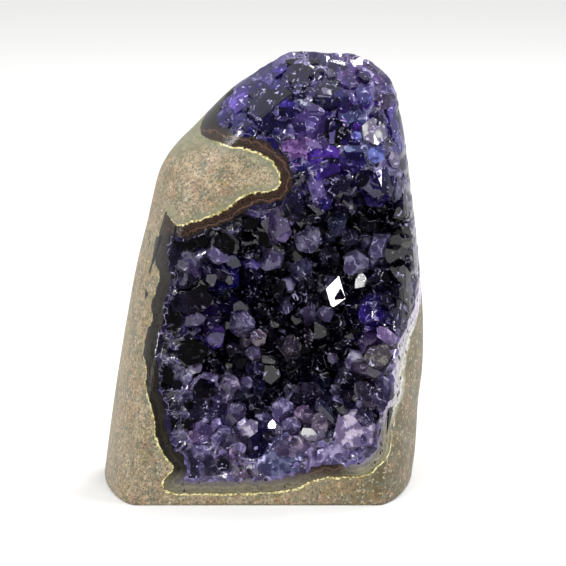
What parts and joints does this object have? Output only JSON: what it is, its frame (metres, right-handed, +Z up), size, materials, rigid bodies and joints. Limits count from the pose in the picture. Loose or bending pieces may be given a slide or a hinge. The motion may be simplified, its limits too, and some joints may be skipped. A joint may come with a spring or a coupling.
{
  "type": "amethyst cluster",
  "caption": "Free-standing cut-base piece of geode wall: rough basalt back, polished rim with a thin agate lining, and an open druse of pointed amethyst crystals.",
  "frame": {"origin": "middle of the sawn base, on the surface that the stone stands on", "axes": "+Z up, along the stone's longest extent; the druse faces -Y and leans back; +X to the right as one looks at the druse"},
  "size_m": [0.0855, 0.0588, 0.113],
  "materials": {
    "basalt": "basalt, ground and polished at the rim, rough at the back",
    "agate": "banded agate, polished",
    "massive_amethyst": "milky to violet massive amethyst, polished",
    "amethyst": "clear deep violet crystal, natural faces"
  },
  "bodies": {
    "root": {"basalt_matrix": "basalt", "agate_lining": "agate", "amethyst_bed": "massive_amethyst", "crystal_01": "amethyst", "crystal_02": "amethyst", "crystal_03": "amethyst", "crystal_04": "amethyst", "crystal_05": "amethyst", "crystal_06": "amethyst", "crystal_07": "amethyst", "crystal_08": "amethyst", "crystal_09": "amethyst", "crystal_10": "amethyst", "crystal_11": "amethyst", "crystal_12": "amethyst", "crystal_13": "amethyst", "crystal_14": "amethyst", "crystal_15": "amethyst", "crystal_16": "amethyst", "crystal_17": "amethyst", "crystal_18": "amethyst", "crystal_19": "amethyst", "crystal_20": "amethyst", "crystal_21": "amethyst", "crystal_22": "amethyst", "crystal_23": "amethyst", "crystal_24": "amethyst", "crystal_25": "amethyst", "crystal_26": "amethyst", "crystal_27": "amethyst", "crystal_28": "amethyst", "crystal_29": "amethyst", "crystal_30": "amethyst", "crystal_31": "amethyst", "crystal_32": "amethyst", "crystal_33": "amethyst", "crystal_34": "amethyst", "crystal_35": "amethyst", "crystal_36": "amethyst", "crystal_37": "amethyst", "crystal_38": "amethyst", "crystal_39": "amethyst", "crystal_40": "amethyst", "crystal_41": "amethyst", "crystal_42": "amethyst", "crystal_43": "amethyst"}
  },
  "joints": []
}
